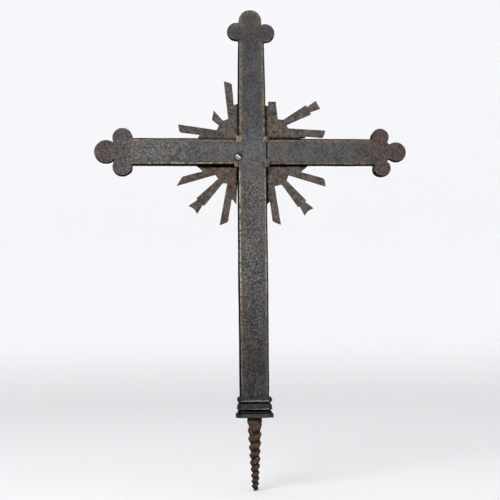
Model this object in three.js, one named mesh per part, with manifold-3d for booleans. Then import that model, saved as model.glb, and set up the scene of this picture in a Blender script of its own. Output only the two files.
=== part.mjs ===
// Wrought iron cross with trefoil ends, four sunburst plates and a wood screw for its foot.
// Millimetres. X runs along the crossbar, the front faces -Y and Z is up.
// The origin is the centre of the collar's underside, where the screw goes into its support.

import * as THREE from "three";
import { mergeVertices } from "three/addons/utils/BufferGeometryUtils.js";
import Module from "manifold-3d";

const wasm = await Module();
wasm.setup();

// Room left between pieces that touch, overlap that keeps a cut clean, and a length past every piece
const GAP = 0.3;
const OVERCUT = 5;
const BEYOND = 1000;

// Corners of a geometry nearer than this are one corner
const MERGE_DISTANCE = 1e-4;

// Bars
const BAR_THICKNESS = 17;
const CHAMFER_WIDTH = 5.6;
const CHAMFER_DEPTH = 3;
const EASED_EDGE = 1.2;

// Upright: its width swells a little between the foot and the head
const UPRIGHT_FOOT = { z: 14, width: 41 };
const UPRIGHT_BELLY = { z: 200, width: 42.7 };
const UPRIGHT_HEAD = { z: 566, width: 38 };
const UPRIGHT_STEPS = 12;

// Crossbar: it is a little taller at its left end
const CROSSING_Z = 383.6;
const CROSSBAR_LEFT = { x: -198, height: 38.9 };
const CROSSBAR_RIGHT = { x: 196, height: 37.7 };

// Ends of the bars, hammered thinner from behind between two distances from the origin
const HEAD_THINNING = { from: 430, to: 548, thickness: 6 };
const LEFT_THINNING = { from: 174, to: 180, thickness: 6 };
const RIGHT_THINNING = { from: 179.5, to: 195, thickness: 6 };

// Trefoils: a core disc on the bar's end and three lobes, each one cut by hand
const TREFOIL_SEGMENTS = 22;
const HEAD_TREFOIL = [
  { x: 0, z: 563, radius: 15 },
  { x: -1.2, z: 579.5, radius: 16.7 },
  { x: -21.5, z: 563, radius: 13.7 },
  { x: 21, z: 561.1, radius: 14 },
];
const LEFT_TREFOIL = [
  { x: -190, z: 383.4, radius: 15 },
  { x: -211.6, z: 382.2, radius: 17.2 },
  { x: -188.2, z: 403.2, radius: 14.4 },
  { x: -188.1, z: 360.5, radius: 14 },
];
const RIGHT_TREFOIL = [
  { x: 192.5, z: 383.6, radius: 15 },
  { x: 212.2, z: 382.8, radius: 14.8 },
  { x: 189.4, z: 405.3, radius: 12.7 },
  { x: 191.3, z: 358.9, radius: 12.5 },
];

// Ray plates: sheet let in at the middle of the bars' thickness
const SHEET_THICKNESS = 2.6;
const WEB_REACH = 30;
const TOOTH_REACH = 60;
const TOOTH_NOTCH = 50;
const NOTCH_SHARE = -0.45;
const STRIP_ROOT_WIDTH = 9.4;
const STRIP_TIP_WIDTH = 11.6;
const STRIP_CORNER = 2.2;
const DIAGONAL_ROOT = 34;
const DIAGONAL_SHOULDER = 77;
const DIAGONAL_END = 93;
const DIAGONAL_ROOT_WIDTH = 9.4;
const DIAGONAL_SHOULDER_WIDTH = 16;
const DIAGONAL_NECK_WIDTH = 10.6;
const DIAGONAL_END_WIDTH = 17.4;
const FISHTAIL_DEPTH = 2.2;
const FISHTAIL_STEPS = 6;
const BREAK_SKEW = 4;

// Each plate has a strip ray beside each bar and a diagonal ray. A strip starts at an offset from
// its bar, leans away from it and reaches along it, past the notch of the half ray on the bar, and
// its end slants back towards the bar. The half ray's tip can be lifted off the bar. The web fills
// the plate out to a distance along each strip. The diagonal turns up from the crossbar.
const RAY_PLATES = [
  {
    name: "ray_plate_upper_left",
    side: -1,
    up: 1,
    besideCrossbar: { offset: 4.2, lean: 7.5, reach: 86.5, slant: 1.2, notch: 55, tooth: 59 },
    besideUpright: { offset: 5.4, lean: 5.4, reach: 86.8, slant: 2.6, tooth: 53 },
    diagonal: { offset: 0.7, turn: 43.7, brokenAt: 50.5 },
    tongue: "folded",
  },
  {
    name: "ray_plate_upper_right",
    side: 1,
    up: 1,
    besideCrossbar: {
      offset: 13.2,
      lean: -3.6,
      reach: 88,
      slant: 2.6,
      notch: 56,
      tooth: 59,
      lift: 1.6,
      web: 33,
    },
    besideUpright: { offset: 13.2, lean: -4, rootWidth: 14.5, reach: 56.5, tooth: 50.5, square: true },
    diagonal: { offset: 8.8, turn: 28.6, root: 36.5, neckWidth: 9.2, endWidth: 13.8, fishtail: 0 },
    tongue: "folded",
  },
  {
    name: "ray_plate_lower_left",
    side: -1,
    up: -1,
    besideCrossbar: { offset: 0.2, lean: 15.6, reach: 89, slant: 7, tooth: 61, web: 32.4 },
    besideUpright: {
      offset: 5.4,
      lean: 9.9,
      reach: 88.6,
      slant: 4,
      notch: 48.6,
      tooth: 58.5,
      lift: 2,
      web: 27,
    },
    diagonal: { offset: -2, turn: 46.5 },
    tongue: "broken",
  },
  {
    name: "ray_plate_lower_right",
    side: 1,
    up: -1,
    besideCrossbar: { offset: 0.6, lean: 16.2, reach: 86.8, slant: 1.4, tooth: 62, web: 32 },
    besideUpright: { offset: 2, lean: 7.9, reach: 88, slant: 3.8, notch: 51.5, web: 31.3 },
    diagonal: { offset: -3.3, turn: 50.4, root: 36 },
    tongue: "folded",
  },
];

// Tongue of each plate, folded over the front corner of the crossing
const TONGUE_RISER = 3.6;
const TONGUE_PAD_RADIUS = 5.6;
const TONGUE_PAD_INSET = 1.6;
const TONGUE_PAD_THICKNESS = 1.6;
const TONGUE_PAD_SEGMENTS = 8;

// Base collar: its mouldings stand out from the bar by these amounts
const COLLAR_HEIGHT = 29.5;
const COLLAR_CORNER_GROWTH = { width: 0.24, depth: 0.35 };
const COLLAR_RIM = 1;
const BEAD = { bottom: 20.8, projection: 4.1 };
const BEAD_STEPS = 8;
const OVOLO = { top: 20.2, bottom: 11.4, rise: 1.5, projection: 4.4 };
const OVOLO_STEPS = 6;
const FILLET = { top: 9, bottom: 7, projection: 3.9 };
const GROOVE_PROJECTION = 2.6;
const FLANGE = { top: 6, projection: 6 };

// Foot screw: a tapered wood thread whose pitch tightens towards the tip
const SOCKET_DEPTH = 10.3;
const SOCKET_SEGMENTS = 24;
const SHANK_RADIUS = 10.3;
const SHANK_BOTTOM_Z = -4;
const THREAD_START_Z = -16.9;
const THREAD_START_TURN = 0.5;
const SCREW_TIP_Z = -101;
const PITCH_AT_START = 13;
const PITCH_LOSS_PER_TURN = 0.8;
const CREST_RADIUS = { start: 9.5, tip: 4.3 };
const ROOT_RADIUS = { start: 7.1, tip: 1.9 };
const THREAD_FALL = 0.68;
const TIP_ROUNDING = 5;
const ROWS_PER_TURN = 7;
const SCREW_SEGMENTS = 16;

// Corner screw: a bright slotted head on the seam at the lower left of the crossing
const CORNER_SCREW = { x: -20, z: 375, radius: 5.4, height: 2.4 };
const SCREW_SLOT = { width: 1.6, depth: 1.2, turn: -38 };
const DOME_STEPS = 4;
const DOME_SEGMENTS = 20;

const MATERIALS = {
  forged_iron: new THREE.MeshStandardMaterial({ color: 0x4a484a, roughness: 0.62, metalness: 0.6 }),
  sheet_iron: new THREE.MeshStandardMaterial({ color: 0x564e4a, roughness: 0.75, metalness: 0.4 }),
  collar_iron: new THREE.MeshStandardMaterial({ color: 0x313234, roughness: 0.5, metalness: 0.6 }),
  rusty_iron: new THREE.MeshStandardMaterial({ color: 0x5e4430, roughness: 0.85, metalness: 0.2 }),
  bright_steel: new THREE.MeshStandardMaterial({ color: 0x9a989c, roughness: 0.35, metalness: 0.9 }),
};

// Solid from a closed geometry: shared corners are merged and collapsed triangles dropped
function toSolid(geometry) {
  const bare = geometry.clone();
  bare.deleteAttribute("normal");
  bare.deleteAttribute("uv");
  const merged = mergeVertices(bare, MERGE_DISTANCE);
  const corners = merged.index.array;
  const triangles = [];
  for (let i = 0; i < corners.length; i += 3) {
    const [a, b, c] = [corners[i], corners[i + 1], corners[i + 2]];
    if (a !== b && b !== c && c !== a) triangles.push(a, b, c);
  }
  return new wasm.Manifold(
    new wasm.Mesh({
      numProp: 3,
      vertProperties: new Float32Array(merged.attributes.position.array),
      triVerts: new Uint32Array(triangles),
    }),
  );
}

function joined(solids) {
  return solids.reduce((whole, next) => whole.add(next));
}

function namedMesh(name, solid, material) {
  const result = solid.getMesh();
  const geometry = new THREE.BufferGeometry();
  geometry.setAttribute("position", new THREE.BufferAttribute(result.vertProperties, 3));
  geometry.setIndex(new THREE.BufferAttribute(result.triVerts, 1));
  geometry.computeVertexNormals();
  const mesh = new THREE.Mesh(geometry, material);
  mesh.name = name;
  return mesh;
}

function box(low, high) {
  const size = high.map((value, i) => value - low[i]);
  const geometry = new THREE.BoxGeometry(...size);
  geometry.translate(...low.map((value, i) => value + size[i] / 2));
  return toSolid(geometry);
}

// Body of an outline drawn in X and Z, from a back face at backY forward to a front face
function upstandingBody(outline, backY, thickness, options = {}) {
  const geometry = new THREE.ExtrudeGeometry(outline, {
    depth: thickness,
    bevelEnabled: false,
    curveSegments: TREFOIL_SEGMENTS,
    ...options,
  });
  geometry.rotateX(Math.PI / 2);
  geometry.translate(0, backY, 0);
  return toSolid(geometry);
}

// Flat bar with chamfers along its front arrises only: the bevel of its back is cut off again
function chamferedBar(outline) {
  const back = BAR_THICKNESS / 2;
  const bar = upstandingBody(outline, back, BAR_THICKNESS - CHAMFER_DEPTH, {
    bevelEnabled: true,
    bevelThickness: CHAMFER_DEPTH,
    bevelSize: CHAMFER_WIDTH,
    bevelOffset: -CHAMFER_WIDTH,
    bevelSegments: 1,
  });
  return bar.subtract(box([-BEYOND, back, -BEYOND], [BEYOND, back + CHAMFER_DEPTH + OVERCUT, BEYOND]));
}

// Disc of the bar's full thickness with eased edges
function lobe({ x, z, radius }) {
  const outline = new THREE.Shape();
  outline.absarc(x, z, radius, 0, 2 * Math.PI);
  return upstandingBody(outline, BAR_THICKNESS / 2 - EASED_EDGE, BAR_THICKNESS - 2 * EASED_EDGE, {
    bevelEnabled: true,
    bevelThickness: EASED_EDGE,
    bevelSize: EASED_EDGE,
    bevelOffset: -EASED_EDGE,
    bevelSegments: 1,
  });
}

// Cut behind the end of an arm that runs along X at height 0, turned to lie along its own bar
function thinningCut({ from, to, thickness }, turn, height) {
  const back = BAR_THICKNESS / 2;
  const thinBack = thickness - back;
  const outline = new THREE.Shape();
  outline.moveTo(from, back);
  outline.lineTo(to, thinBack);
  outline.lineTo(BEYOND, thinBack);
  outline.lineTo(BEYOND, back + OVERCUT);
  outline.lineTo(from, back + OVERCUT);
  outline.closePath();
  const geometry = new THREE.ExtrudeGeometry(outline, { depth: 2 * to, bevelEnabled: false });
  geometry.translate(0, 0, -to);
  geometry.rotateY(turn);
  geometry.translate(0, 0, height);
  return toSolid(geometry);
}

// Half the upright's width at a height: a parabola through the foot, the belly and the head
function uprightHalfWidth(z) {
  const foot = UPRIGHT_FOOT;
  const belly = UPRIGHT_BELLY;
  const head = UPRIGHT_HEAD;
  const lowerSlope = (belly.width - foot.width) / (belly.z - foot.z);
  const upperSlope = (head.width - belly.width) / (head.z - belly.z);
  const bend = (upperSlope - lowerSlope) / (head.z - foot.z);
  return (foot.width + lowerSlope * (z - foot.z) + bend * (z - foot.z) * (z - belly.z)) / 2;
}

// Half the crossbar's height at a distance along it
function crossbarHalfHeight(x) {
  const share = (x - CROSSBAR_LEFT.x) / (CROSSBAR_RIGHT.x - CROSSBAR_LEFT.x);
  return THREE.MathUtils.lerp(CROSSBAR_LEFT.height, CROSSBAR_RIGHT.height, share) / 2;
}

function makeUpright() {
  const right = [];
  for (let i = 0; i <= UPRIGHT_STEPS; i++) {
    const z = THREE.MathUtils.lerp(UPRIGHT_FOOT.z, UPRIGHT_HEAD.z, i / UPRIGHT_STEPS);
    right.push(new THREE.Vector2(uprightHalfWidth(z), z));
  }
  const left = right.map((point) => new THREE.Vector2(-point.x, point.y)).reverse();
  const bar = chamferedBar(new THREE.Shape([...right, ...left]));
  const half = uprightHalfWidth(CROSSING_Z);
  const bottom = CROSSING_Z - crossbarHalfHeight(-half);
  const top = CROSSING_Z + crossbarHalfHeight(-half);
  const front = -BAR_THICKNESS / 2;
  const squareCrossing = box([-half, front, bottom], [half, 0, top]);
  const housing = box(
    [-half - OVERCUT, 0, bottom - GAP],
    [half + OVERCUT, BAR_THICKNESS / 2 + OVERCUT, top + GAP],
  );
  const whole = joined([bar, squareCrossing, ...HEAD_TREFOIL.map(lobe)]);
  const solid = whole.subtract(housing).subtract(thinningCut(HEAD_THINNING, -Math.PI / 2, 0));
  return namedMesh("upright", solid, MATERIALS.forged_iron);
}

function makeCrossbar() {
  const leftHalf = CROSSBAR_LEFT.height / 2;
  const rightHalf = CROSSBAR_RIGHT.height / 2;
  const outline = new THREE.Shape();
  outline.moveTo(CROSSBAR_LEFT.x, CROSSING_Z - leftHalf);
  outline.lineTo(CROSSBAR_RIGHT.x, CROSSING_Z - rightHalf);
  outline.lineTo(CROSSBAR_RIGHT.x, CROSSING_Z + rightHalf);
  outline.lineTo(CROSSBAR_LEFT.x, CROSSING_Z + leftHalf);
  outline.closePath();
  const half = uprightHalfWidth(CROSSING_Z - leftHalf) + GAP;
  const housing = box(
    [-half, -BAR_THICKNESS / 2 - OVERCUT, CROSSING_Z - leftHalf - OVERCUT],
    [half, GAP, CROSSING_Z + leftHalf + OVERCUT],
  );
  const lobes = [...LEFT_TREFOIL, ...RIGHT_TREFOIL].map(lobe);
  const whole = joined([chamferedBar(outline), ...lobes]).subtract(housing);
  const solid = whole
    .subtract(thinningCut(RIGHT_THINNING, 0, CROSSING_Z))
    .subtract(thinningCut(LEFT_THINNING, Math.PI, CROSSING_Z));
  return namedMesh("crossbar", solid, MATERIALS.forged_iron);
}

// Across a strip ray: the distance from its bar of a line in it, at a distance along the bar
function stripLine(strip, along, share) {
  const rootWidth = strip.rootWidth ?? STRIP_ROOT_WIDTH;
  const width = THREE.MathUtils.lerp(rootWidth, STRIP_TIP_WIDTH, along / strip.reach);
  return strip.offset + along * Math.tan(THREE.MathUtils.degToRad(strip.lean)) + share * width;
}

// Outlines of a strip ray and of the half ray on its bar, as points along and away from the bar
function stripOutlines(strip) {
  const at = (along, share) => [along, stripLine(strip, along, share)];
  const ray = [at(0, 0.5), at(0, -0.5)];
  if (strip.square) {
    ray.push(at(strip.reach, -0.5));
  } else {
    const end = strip.reach - strip.slant;
    ray.push(at(end - STRIP_CORNER, -0.5), at(end, STRIP_CORNER / STRIP_TIP_WIDTH - 0.5));
  }
  ray.push(at(strip.reach, 0.5));
  const tip = [strip.tooth ?? TOOTH_REACH, strip.lift ?? 0];
  const tooth = [[0, 0], tip, at(strip.notch ?? TOOTH_NOTCH, NOTCH_SHARE), at(0, 0.5)];
  return [ray, tooth];
}

// Point of a diagonal ray, by its distance along the ray and to one side of the middle line
function diagonalPoint({ offset, turn }, along, aside) {
  const point = new THREE.Vector2(along, offset + aside);
  return point.rotateAround(new THREE.Vector2(), THREE.MathUtils.degToRad(turn)).toArray();
}

// Half the width of a diagonal ray between its root and its shoulder
function diagonalHalfWidth(along) {
  const share = (along - DIAGONAL_ROOT) / (DIAGONAL_SHOULDER - DIAGONAL_ROOT);
  return THREE.MathUtils.lerp(DIAGONAL_ROOT_WIDTH, DIAGONAL_SHOULDER_WIDTH, share) / 2;
}

// The two corners where a diagonal ray leaves the web, the one nearer the crossbar first
function diagonalRoots(diagonal) {
  const along = diagonal.root ?? DIAGONAL_ROOT;
  const half = DIAGONAL_ROOT_WIDTH / 2;
  return [-half, half].map((aside) => diagonalPoint(diagonal, along, aside));
}

function diagonalOutline(diagonal) {
  const at = (along, aside) => diagonalPoint(diagonal, along, aside);
  const half = DIAGONAL_ROOT_WIDTH / 2;
  const [lowRoot, highRoot] = diagonalRoots(diagonal);
  const outline = [highRoot, at(0, half), at(0, -half), lowRoot];
  if (diagonal.brokenAt) {
    const short = diagonal.brokenAt - BREAK_SKEW;
    const long = diagonal.brokenAt + BREAK_SKEW;
    outline.push(at(short, -diagonalHalfWidth(short)), at(long, diagonalHalfWidth(long)));
    return outline;
  }
  const shoulder = DIAGONAL_SHOULDER_WIDTH / 2;
  const neck = (diagonal.neckWidth ?? DIAGONAL_NECK_WIDTH) / 2;
  const end = (diagonal.endWidth ?? DIAGONAL_END_WIDTH) / 2;
  const hollow = diagonal.fishtail ?? FISHTAIL_DEPTH;
  outline.push(at(DIAGONAL_SHOULDER, -shoulder), at(DIAGONAL_SHOULDER, -neck));
  for (let i = 0; i <= FISHTAIL_STEPS; i++) {
    const across = (2 * i) / FISHTAIL_STEPS - 1;
    outline.push(at(DIAGONAL_END - hollow * (1 - across * across), across * end));
  }
  outline.push(at(DIAGONAL_SHOULDER, neck), at(DIAGONAL_SHOULDER, shoulder));
  return outline;
}

// Fan of sheet that joins the rays of one plate at the corner of the crossing
function webOutline({ besideCrossbar, besideUpright, diagonal }) {
  const along = besideCrossbar.web ?? WEB_REACH;
  const up = besideUpright.web ?? WEB_REACH;
  return [
    [0, 0],
    [along, 0],
    [along, stripLine(besideCrossbar, along, 0.5)],
    ...diagonalRoots(diagonal),
    [stripLine(besideUpright, up, 0.5), up],
    [0, up],
  ];
}

// Tongue at the plate's inner corner: it rises beside the bars, and a whole one folds over them
function tongueBodies(plate, placed) {
  const front = -BAR_THICKNESS / 2;
  const square = [[0, 0], [TONGUE_RISER, 0], [TONGUE_RISER, TONGUE_RISER], [0, TONGUE_RISER]];
  const riserOutline = new THREE.Shape(square.map(placed));
  const padBack = front - GAP;
  const riserFront = plate.tongue === "folded" ? padBack - TONGUE_PAD_THICKNESS : front;
  const riser = upstandingBody(riserOutline, 0, -riserFront);
  if (plate.tongue !== "folded") return [riser];
  const centre = placed([-TONGUE_PAD_INSET, -TONGUE_PAD_INSET]);
  const padOutline = new THREE.Shape();
  padOutline.absarc(centre.x, centre.y, TONGUE_PAD_RADIUS, 0, 2 * Math.PI);
  const rounding = { curveSegments: TONGUE_PAD_SEGMENTS };
  return [riser, upstandingBody(padOutline, padBack, TONGUE_PAD_THICKNESS, rounding)];
}

function makeRayPlate(plate) {
  const reachZ = CROSSING_Z + plate.up * TOOTH_REACH;
  const cornerX = Math.max(uprightHalfWidth(CROSSING_Z), uprightHalfWidth(reachZ)) + GAP;
  const nearX = plate.side * cornerX;
  const reachX = nearX + plate.side * TOOTH_REACH;
  const cornerZ = Math.max(crossbarHalfHeight(nearX), crossbarHalfHeight(reachX)) + GAP;
  const placed = ([out, away]) =>
    new THREE.Vector2(plate.side * (cornerX + out), CROSSING_Z + plate.up * (cornerZ + away));
  const sheet = (outline) =>
    upstandingBody(new THREE.Shape(outline.map(placed)), SHEET_THICKNESS / 2, SHEET_THICKNESS);
  const swapped = (outline) => outline.map(([along, across]) => [across, along]);
  const outlines = [
    webOutline(plate),
    diagonalOutline(plate.diagonal),
    ...stripOutlines(plate.besideCrossbar),
    ...stripOutlines(plate.besideUpright).map(swapped),
  ];
  const far = 2 * DIAGONAL_END;
  const quadrant = sheet([[0, 0], [far, 0], [far, far], [0, far]]);
  const fan = joined(outlines.map(sheet)).intersect(quadrant);
  const solid = joined([fan, ...tongueBodies(plate, placed)]);
  return namedMesh(plate.name, solid, MATERIALS.sheet_iron);
}

// Plan of the bar at the collar, standing out by a projection, with its front corners cut
function collarPlan(projection) {
  const half = uprightHalfWidth(COLLAR_HEIGHT) + projection;
  const depth = BAR_THICKNESS / 2 + projection;
  const cutWidth = CHAMFER_WIDTH + COLLAR_CORNER_GROWTH.width * projection;
  const cutDepth = CHAMFER_DEPTH + COLLAR_CORNER_GROWTH.depth * projection;
  return [
    new THREE.Vector2(cutWidth - half, -depth),
    new THREE.Vector2(half - cutWidth, -depth),
    new THREE.Vector2(half, cutDepth - depth),
    new THREE.Vector2(half, depth),
    new THREE.Vector2(-half, depth),
    new THREE.Vector2(-half, cutDepth - depth),
  ];
}

// Profile of the collar from its underside up, as a projection and a height
function collarProfile() {
  const profile = [
    [FLANGE.projection, 0],
    [FLANGE.projection, FLANGE.top],
    [GROOVE_PROJECTION, FLANGE.top],
    [GROOVE_PROJECTION, FILLET.bottom],
    [FILLET.projection, FILLET.bottom],
    [FILLET.projection, FILLET.top],
    [GROOVE_PROJECTION, FILLET.top],
    [GROOVE_PROJECTION, OVOLO.bottom],
  ];
  for (let i = 0; i <= OVOLO_STEPS; i++) {
    const angle = ((i / OVOLO_STEPS) * Math.PI) / 2;
    const projection = OVOLO.rise + (OVOLO.projection - OVOLO.rise) * Math.cos(angle);
    profile.push([projection, OVOLO.bottom + (OVOLO.top - OVOLO.bottom) * Math.sin(angle)]);
  }
  for (let i = 0; i <= BEAD_STEPS; i++) {
    const angle = (i / BEAD_STEPS) * Math.PI;
    const projection = COLLAR_RIM + (BEAD.projection - COLLAR_RIM) * Math.sin(angle);
    const middle = (COLLAR_HEIGHT + BEAD.bottom) / 2;
    profile.push([projection, middle - (middle - BEAD.bottom) * Math.cos(angle)]);
  }
  return profile;
}

// Closed body through plans of the same number of corners, stacked from the bottom up
function stackedBody(plans) {
  const sides = plans[0].points.length;
  const positions = [];
  for (const { points, z } of plans) {
    for (const point of points) positions.push(point.x, point.y, z);
  }
  const triangles = [];
  for (let level = 0; level + 1 < plans.length; level++) {
    for (let i = 0; i < sides; i++) {
      const a = level * sides + i;
      const b = level * sides + ((i + 1) % sides);
      triangles.push(a, b, b + sides, a, b + sides, a + sides);
    }
  }
  const top = (plans.length - 1) * sides;
  for (let i = 1; i + 1 < sides; i++) {
    triangles.push(0, i + 1, i);
    triangles.push(top, top + i, top + i + 1);
  }
  const geometry = new THREE.BufferGeometry();
  geometry.setAttribute("position", new THREE.Float32BufferAttribute(positions, 3));
  geometry.setIndex(triangles);
  return toSolid(geometry);
}

function makeBaseCollar() {
  const plans = collarProfile().map(([projection, z]) => ({ points: collarPlan(projection), z }));
  const pocketBottom = UPRIGHT_FOOT.z - GAP;
  const pocket = new THREE.ExtrudeGeometry(new THREE.Shape(collarPlan(GAP)), {
    depth: COLLAR_HEIGHT - pocketBottom + OVERCUT,
    bevelEnabled: false,
  });
  pocket.translate(0, 0, pocketBottom);
  const radius = SHANK_RADIUS + GAP;
  const socket = new THREE.CylinderGeometry(radius, radius, SOCKET_DEPTH + OVERCUT, SOCKET_SEGMENTS);
  socket.rotateX(Math.PI / 2);
  socket.translate(0, 0, (SOCKET_DEPTH - OVERCUT) / 2);
  const solid = stackedBody(plans).subtract(toSolid(pocket)).subtract(toSolid(socket));
  return namedMesh("base_collar", solid, MATERIALS.collar_iron);
}

// Turns that the thread has made from its start down to a height, and the height after some turns
function threadTurns(z) {
  const fall = THREAD_START_Z - z;
  const pitch = PITCH_AT_START;
  return (pitch - Math.sqrt(pitch * pitch - 2 * PITCH_LOSS_PER_TURN * fall)) / PITCH_LOSS_PER_TURN;
}

function threadHeight(turns) {
  return THREAD_START_Z - PITCH_AT_START * turns + (PITCH_LOSS_PER_TURN * turns * turns) / 2;
}

// Share of the thread's depth: it falls slowly from the crest and rises steeply to the next one
function threadRidge(turns) {
  const phase = turns - Math.floor(turns);
  const share = phase < THREAD_FALL ? phase / THREAD_FALL : (1 - phase) / (1 - THREAD_FALL);
  return (1 + Math.cos(Math.PI * share)) / 2;
}

function screwRadius(z, angle) {
  const share = THREE.MathUtils.clamp((THREAD_START_Z - z) / (THREAD_START_Z - SCREW_TIP_Z), 0, 1);
  const crest = THREE.MathUtils.lerp(CREST_RADIUS.start, CREST_RADIUS.tip, share);
  const root = THREE.MathUtils.lerp(ROOT_RADIUS.start, ROOT_RADIUS.tip, share);
  const ridge = threadRidge(threadTurns(z) + angle / (2 * Math.PI) - THREAD_START_TURN);
  const threaded = THREE.MathUtils.lerp(root, crest, ridge);
  const plain = THREE.MathUtils.smoothstep(z, THREAD_START_Z, SHANK_BOTTOM_Z);
  const rounding = THREE.MathUtils.smoothstep(z, SCREW_TIP_Z - TIP_ROUNDING, SCREW_TIP_Z + TIP_ROUNDING);
  return THREE.MathUtils.lerp(threaded, SHANK_RADIUS, plain) * rounding;
}

function makeFootScrew() {
  const top = SOCKET_DEPTH - GAP;
  const topTurns = threadTurns(SHANK_BOTTOM_Z);
  const tipTurns = threadTurns(SCREW_TIP_Z);
  const rows = Math.round((tipTurns - topTurns) * ROWS_PER_TURN);
  const profile = [new THREE.Vector2(0, SCREW_TIP_Z)];
  for (let row = rows; row >= 0; row--) {
    const turns = THREE.MathUtils.lerp(topTurns, tipTurns, row / rows);
    profile.push(new THREE.Vector2(SHANK_RADIUS, threadHeight(turns)));
  }
  profile.push(new THREE.Vector2(SHANK_RADIUS, top), new THREE.Vector2(0, top));
  const geometry = new THREE.LatheGeometry(profile, SCREW_SEGMENTS);
  geometry.rotateX(Math.PI / 2);
  const points = geometry.attributes.position;
  for (let i = 0; i < points.count; i++) {
    const radius = Math.hypot(points.getX(i), points.getY(i));
    if (radius < SHANK_RADIUS / 2) continue;
    const angle = Math.atan2(points.getY(i), points.getX(i));
    const shaped = screwRadius(points.getZ(i), angle);
    points.setXY(i, shaped * Math.cos(angle), shaped * Math.sin(angle));
  }
  return namedMesh("foot_screw", toSolid(geometry), MATERIALS.rusty_iron);
}

function makeCornerScrew() {
  const { x, z, radius, height } = CORNER_SCREW;
  const profile = [new THREE.Vector2(0, 0)];
  for (let i = 0; i < DOME_STEPS; i++) {
    const angle = ((i / DOME_STEPS) * Math.PI) / 2;
    profile.push(new THREE.Vector2(radius * Math.cos(angle), height * Math.sin(angle)));
  }
  profile.push(new THREE.Vector2(0, height));
  const dome = new THREE.LatheGeometry(profile, DOME_SEGMENTS);
  const slot = new THREE.BoxGeometry(2 * radius + OVERCUT, 2 * SCREW_SLOT.depth, SCREW_SLOT.width);
  slot.rotateY(THREE.MathUtils.degToRad(SCREW_SLOT.turn));
  slot.translate(0, height, 0);
  const head = namedMesh("corner_screw", toSolid(dome).subtract(toSolid(slot)), MATERIALS.bright_steel);
  head.rotation.x = Math.PI;
  head.position.set(x, -BAR_THICKNESS / 2 - GAP, z);
  return head;
}

const group = new THREE.Group();
group.add(makeUpright(), makeCrossbar());
group.add(...RAY_PLATES.map(makeRayPlate));
group.add(makeBaseCollar(), makeFootScrew(), makeCornerScrew());

export default group;
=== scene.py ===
"""Looks of a wrought iron cross: worn meshes over its solids, their finishes, a studio and a camera."""

import itertools
import math

import bmesh
import bpy
import numpy as np
from mathutils import Matrix, Vector


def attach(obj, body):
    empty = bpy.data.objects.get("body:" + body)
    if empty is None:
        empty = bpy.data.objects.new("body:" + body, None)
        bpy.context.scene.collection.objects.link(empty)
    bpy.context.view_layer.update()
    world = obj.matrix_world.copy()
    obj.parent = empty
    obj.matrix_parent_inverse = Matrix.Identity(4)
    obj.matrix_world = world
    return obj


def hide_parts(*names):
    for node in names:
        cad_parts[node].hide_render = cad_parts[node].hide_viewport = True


MM = 0.001

# Axes that the crossbar and the upright run along
ACROSS_AXIS, UP_AXIS = 0, 2

# Camera of the photograph, fitted to the object
IMAGE_PIXELS = 500
FOCAL_PIXELS = 903
SENSOR_MM = 36
CAMERA_PLACE = Vector((-84.9, -1300, 105)) * MM
CAMERA_YAW = math.radians(3.5525)
CAMERA_PITCH = math.radians(5.8926)
CAMERA_ROLL = math.radians(-0.5715)

# Main places on the cross
CROSSING_Z = 383.6 * MM
CROSSBAR_ENDS = (-198 * MM, 196 * MM)
CROSSBAR_HALF_HEIGHTS = (19.45 * MM, 18.85 * MM)
UPRIGHT_HEIGHTS = (14 * MM, 200 * MM, 566 * MM)
UPRIGHT_HALF_WIDTHS = (20.5 * MM, 21.35 * MM, 19 * MM)
SCREW_TIP_Z = -101 * MM

# Corners nearer than this are one corner, and the edge length of each piece's even mesh
WELD_DISTANCE = 0.001 * MM
MESH_STEP = {
    "upright": 0.92 * MM,
    "crossbar": 0.8 * MM,
    "ray_plate_upper_left": 0.6 * MM,
    "ray_plate_upper_right": 0.6 * MM,
    "ray_plate_lower_left": 0.6 * MM,
    "ray_plate_lower_right": 0.6 * MM,
    "base_collar": 0.5 * MM,
    "foot_screw": 0.45 * MM,
    "corner_screw": 0.2 * MM,
}

# Start of each piece's noise, and a step between the four plates
SEEDS = {
    "upright": 100,
    "crossbar": 200,
    "ray_plates": 300,
    "base_collar": 800,
    "foot_screw": 900,
    "corner_screw": 7,
}
PLATE_SEED_STEP = 100

# Brightness along the upright and along the crossbar, as places in metres and levels: partly the iron's own
# colour, partly painted light, such as the left arm made lighter where the light falls from the left
UPRIGHT_TONES_AND_LIGHT = [
    (0.03, 0.35), (0.08, 0.37), (0.14, 0.59), (0.2, 0.77), (0.26, 0.82),
    (0.31, 0.86), (0.385, 0.98), (0.42, 0.74), (0.46, 0.64), (0.56, 0.66),
]
CROSSBAR_TONES_AND_LIGHT = [(-0.21, 0.8), (-0.16, 1.0), (-0.08, 0.91), (0.0, 0.9), (0.06, 0.78), (0.2, 0.75)]

# Fine lines in the front faces: a seam under the left trefoil's upper lobe and a scratch on the crossing
FACE_LINES = [
    {"left": -200.5 * MM, "right": -178 * MM, "z": 392.4 * MM, "half_width": 1.8 * MM},
    {"left": -1.5 * MM, "right": 6.5 * MM, "z": 392.6 * MM, "half_width": 0.6 * MM},
]
LINE_FADE = 2 * MM

# Width of the chamfers, how far their rust stains the faces, and the worn line beside each arris
CHAMFER_WIDTH = 5.6 * MM
STAIN_WIDTH = 12 * MM
WORN_LINE = 2.8 * MM
WORN_HALF_WIDTH = 1.0 * MM
WAVER_SEED = 40

# Rusty rim of the head's top lobe
TOP_LOBE = {"x": -1.2 * MM, "z": 579.5 * MM, "inner": 9 * MM, "outer": 14 * MM, "bottom": 568 * MM}
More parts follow.
